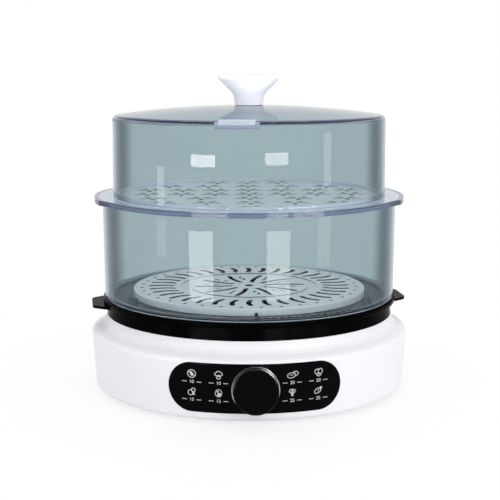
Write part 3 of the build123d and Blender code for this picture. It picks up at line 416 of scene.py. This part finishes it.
def sterilise(bm, x, z):
    add_line(bm, oval(x, z, 3.3, 3.3), 0.62, True)
    add_shape(bm, oval(x, z, 1.2, 2.1, 25))
    add_line(bm, [(x - 2.4, z + 1.5), (x - 1.4, z + 0.7)], 0.5)
    add_line(bm, [(x + 1.4, z - 0.7), (x + 2.4, z - 1.5)], 0.5)


def vegetable(bm, x, z):
    cap = oval(x - 1.7, z + 0.9, 1.5, 1.3, 0, 120, 170, 10)
    cap += oval(x + 1.7, z + 0.9, 1.5, 1.3, 0, -110, 170, 10)
    cap += oval(x, z + 1.9, 1.9, 1.5, 0, 20, 140, 10)
    add_line(bm, cap, 0.6, True)
    add_line(bm, oval(x, z - 2.0, 1.6, 1.2), 0.6, True)
    add_shape(bm, oval(x, z - 0.4, 1.0, 0.8))


def egg_cup(bm, x, z):
    add_line(bm, oval(x - 1.0, z - 0.9, 2.0, 2.2, 0, 60, 250, 20), 0.55)
    add_line(bm, oval(x + 1.3, z + 1.5, 1.6, 1.5, 10), 0.6, True)
    add_shape(bm, [(x + 0.2, z - 0.2), (x + 2.2, z - 0.4), (x + 2.7, z - 2.7), (x + 0.6, z - 2.9)])


def fish(bm, x, z):
    add_line(bm, oval(x, z, 2.7, 3.2), 0.5, True)
    add_shape(bm, oval(x + 0.5, z - 1.2, 1.8, 1.4, 30))
    add_shape(bm, oval(x - 0.8, z + 1.3, 0.9, 0.8))


def buns(bm, x, z):
    add_line(bm, oval(x - 0.9, z - 0.6, 3.3, 2.2, 8), 0.55, True)
    add_line(bm, oval(x + 2.2, z + 0.7, 2.7, 1.9, 20, -110, 240, 20), 0.55)
    add_line(bm, oval(x - 0.8, z + 0.2, 1.5, 0.7, 8, 190, 160, 10), 0.45)
    add_line(bm, [(x + 1.2, z + 1.6), (x + 2.4, z + 0.9)], 0.5)


def potatoes(bm, x, z):
    add_line(bm, oval(x - 1.1, z + 0.7, 2.1, 2.3, 15, 20, 300, 22), 0.55)
    add_line(bm, oval(x + 1.4, z + 0.9, 1.8, 2.3, -12), 0.6, True)
    add_line(bm, oval(x + 0.3, z - 1.9, 1.7, 1.2), 0.6, True)


def shell(bm, x, z):
    fan = [(x - 0.6, z - 1.0), (x - 2.6, z + 1.0), (x - 2.4, z + 2.2), (x - 1.2, z + 2.7), (x, z + 2.9),
           (x + 1.2, z + 2.7), (x + 2.4, z + 2.2), (x + 2.6, z + 1.0), (x + 0.6, z - 1.0)]
    add_line(bm, fan, 0.6, True)
    for lean in (-1.2, 0.0, 1.2):
        add_line(bm, [(x + lean * 0.25, z - 0.8), (x + lean, z + 2.3)], 0.45)
    add_shape(bm, [(x - 0.5, z - 0.9), (x + 0.5, z - 0.9), (x + 1.1, z - 2.9), (x - 1.1, z - 2.9)])


def drumstick(bm, x, z):
    add_line(bm, oval(x - 0.5, z - 0.4, 3.0, 1.9, 32), 0.6, True)
    add_shape(bm, oval(x + 2.1, z + 1.9, 1.3, 0.9, 40))
    add_line(bm, [(x - 0.6, z - 1.0), (x + 0.6, z + 0.7)], 0.5)


UPPER, LOWER, INNER, OUTER = 43.3, 27.8, 30.4, 52.5     # rows and columns of the pictograms
LABEL_DROP = 6.9                        # minutes below a pictogram's middle
LABEL_SIZE, LABEL_BOLD = 3.9, 0.035
DASH_START, DASH_END, DASH_WIDTH = 4.0, 8.0, 0.5
ICONS = [
    (sterilise, -OUTER, UPPER, "10"), (vegetable, -INNER, UPPER, "10"), (egg_cup, -OUTER, LOWER, "15"),
    (fish, -INNER, LOWER, "12"), (buns, INNER, UPPER, "20"), (potatoes, OUTER, UPPER, "20"),
    (shell, INNER, LOWER, "25"), (drumstick, OUTER, LOWER, "25"),
]
print_look = finish("panel_print", (0.60, 0.60, 0.60), (0.5, 0.6), vary=0.12, patch=300,
                    bump=(2500.0, 0.00002))


def add_number(bm, number, x, z):
    words = bpy.data.curves.new("minutes", "FONT")
    words.body = number
    words.size = LABEL_SIZE
    words.align_x, words.align_y = "CENTER", "CENTER"
    words.offset = LABEL_BOLD
    holder = bpy.data.objects.new("minutes", words)
    scene.collection.objects.link(holder)
    bpy.context.view_layer.update()
    drawn = bmesh.new()
    drawn.from_mesh(holder.to_mesh())
    bmesh.ops.dissolve_limit(drawn, angle_limit=0.01, verts=drawn.verts, edges=drawn.edges)
    for face in drawn.faces:
        add_shape(bm, [(x + v.co.x, z + v.co.y) for v in face.verts])
    drawn.free()
    holder.to_mesh_clear()
    bpy.data.objects.remove(holder)


icons, labels = bmesh.new(), bmesh.new()
for draw, x, z, minutes in ICONS:
    draw(icons, x, z)
    low = z - LABEL_DROP
    add_number(labels, minutes, x, low)
    for side in (-1, 1):
        start, end = x + side * DASH_START, x + side * DASH_END
        add_line(labels, [(start, low), ((start + end) / 2, low), (end, low)], DASH_WIDTH)
print_piece("panel_icons", icons)
print_piece("panel_minutes", labels)


# ------------------------------------------------------------------ stage
FLOOR_RADIUS, FLOOR_ROUGH = 0.46, 0.6
FLOOR_PATCH = (3.0, 3.0)                    # scale and detail
SHADOW_RADIUS, WHITE_RADIUS = 0.16, 0.40    # the floor fades to the white backdrop between these
GLOW_IN_SHADOW = 0.80                       # share of that white inside the shadow's radius
AMBIENT = 0.78


def background_ray(tree):
    path = tree.nodes.new("ShaderNodeLightPath")
    seen = joined(tree, "MAXIMUM", path.outputs["Is Camera Ray"], path.outputs["Is Glossy Ray"])
    return joined(tree, "MAXIMUM", seen, path.outputs["Is Transmission Ray"])


bm = bmesh.new()
bmesh.ops.create_circle(bm, cap_ends=True, segments=96, radius=FLOOR_RADIUS)
mesh = bpy.data.meshes.new("floor")
bm.to_mesh(mesh)
bm.free()
floor = bpy.data.objects.new("floor", mesh)
scene.collection.objects.link(floor)
mat, tree, out, shader = new_material("floor")
shade = blended(tree, noise(tree, *FLOOR_PATCH), (0.86, 0.86, 0.865), (0.88, 0.88, 0.885))
tree.links.new(shade, shader.inputs["Base Color"])
shader.inputs["Roughness"].default_value = FLOOR_ROUGH
glow = tree.nodes.new("ShaderNodeEmission")
glow.inputs["Color"].default_value = (1, 1, 1, 1)
place = tree.nodes.new("ShaderNodeTexCoord")
far = length(tree, place.outputs["Object"])
fade = mapped(tree, far, SHADOW_RADIUS, WHITE_RADIUS, GLOW_IN_SHADOW, 1.0)
white_share = joined(tree, "MULTIPLY", background_ray(tree), fade)
mixed_shaders(tree, out, white_share, shader.outputs["BSDF"], glow.outputs["Emission"])
mesh.materials.append(mat)

world = bpy.data.worlds.new("studio")
scene.world = world
world.use_nodes = True
tree = world.node_tree
tree.nodes.clear()
out = tree.nodes.new("ShaderNodeOutputWorld")
ambient, white = (tree.nodes.new("ShaderNodeBackground") for _ in range(2))
for shader, colour, strength in ((ambient, (0.97, 0.98, 1.0), AMBIENT), (white, (1, 1, 1), 1.0)):
    shader.inputs["Color"].default_value = (*colour, 1)
    shader.inputs["Strength"].default_value = strength
mixed_shaders(tree, out, background_ray(tree), ambient.outputs["Background"], white.outputs["Background"])


def lamp(name, place, target, size, power, spread=None):
    """Rectangular lamp that no view shows itself. spread narrows its light, in degrees."""
    data = bpy.data.lights.new(name, "AREA")
    data.shape = "RECTANGLE"
    data.size, data.size_y = size
    data.energy = power
    obj = bpy.data.objects.new(name, data)
    scene.collection.objects.link(obj)
    obj.location = place
    obj.rotation_euler = (Vector(target) - Vector(place)).to_track_quat("-Z", "Y").to_euler()
    obj.visible_camera = False
    obj.visible_transmission = False
    if spread:
        data.spread = math.radians(spread)
        obj.visible_glossy = False
    return obj


WINDOW_REACH = 0.55                         # from the axis to the panes


def window(name, left, right, low, high, level):
    """Bright pane that only shows as a reflection, between two azimuths from the front, in degrees."""
    middle = math.radians((left + right) / 2)
    width = math.radians(right - left) * WINDOW_REACH
    z = (low + high) / 2
    place = (WINDOW_REACH * math.sin(middle), -WINDOW_REACH * math.cos(middle), z)
    power = level * math.pi * width * (high - low)
    pane = lamp(name, place, (0, 0, z), (width, high - low), power)
    pane.visible_diffuse = False


MIDDLE = (0, 0, 0.12)
LAMPS = [
    ("key_right", (0.9, -1.3, 0.75), MIDDLE, (0.8, 1.0), 5.5),
    ("fill_left", (-1.2, -1.1, 0.7), MIDDLE, (0.8, 1.0), 0.8),
    ("top", (0, 0.1, 1.5), (0, 0, 0), (1.2, 1.0), 8.5),
    ("knob_fill", (0.15, -1.3, 0.02), (0, 0, 0.285), (0.6, 0.2), 0.35, 14),
]
WINDOWS = [
    ("pane_low_left", -43.0, -25.9, 0.007, 0.089, 24.0),
    ("pane_low_right", 9.4, 25.2, 0.009, 0.090, 20.0),
    ("pane_middle_left", -39.9, -14.8, 0.110, 0.130, 21.6),
    ("pane_middle_right", 8.6, 22.7, 0.110, 0.130, 21.6),
    ("pane_middle_far", 26.7, 47.8, 0.110, 0.130, 21.6),
    ("pane_high_left", -44.7, -26.3, 0.178, 0.192, 44.0),
    ("pane_high_right", 9.1, 25.9, 0.181, 0.195, 34.0),
    ("strip_high_right", 53.9, 60.6, 0.152, 0.216, 9.0),
    ("strip_low_right", 44.8, 54.6, 0.045, 0.105, 5.4),
    ("strip_high_left", -74.3, -67.5, 0.122, 0.175, 10.8),
    ("strip_low_left", -68.1, -60.1, 0.056, 0.103, 4.5),
]
for settings in LAMPS:
    lamp(*settings)
for settings in WINDOWS:
    window(*settings)


# ------------------------------------------------------------------ camera
TURN, PITCH = math.radians(2.2), math.radians(9.204)
REACH, ASIDE, EYE_HEIGHT = 1.098, 0.0009, 0.3021
LENS, SENSOR = 86.5, 36.0
BOUNCES = 24

data = bpy.data.cameras.new("camera")
data.lens = LENS
data.sensor_width = SENSOR
camera = bpy.data.objects.new("camera", data)
scene.collection.objects.link(camera)
camera.location = (
    -REACH * math.sin(TURN) + ASIDE * math.cos(TURN),
    -REACH * math.cos(TURN) - ASIDE * math.sin(TURN),
    EYE_HEIGHT,
)
camera.rotation_euler = (math.pi / 2 - PITCH, 0, -TURN)
scene.camera = camera

scene.view_settings.view_transform = "Standard"
scene.cycles.max_bounces = BOUNCES
scene.cycles.transmission_bounces = BOUNCES
scene.cycles.transparent_max_bounces = BOUNCES
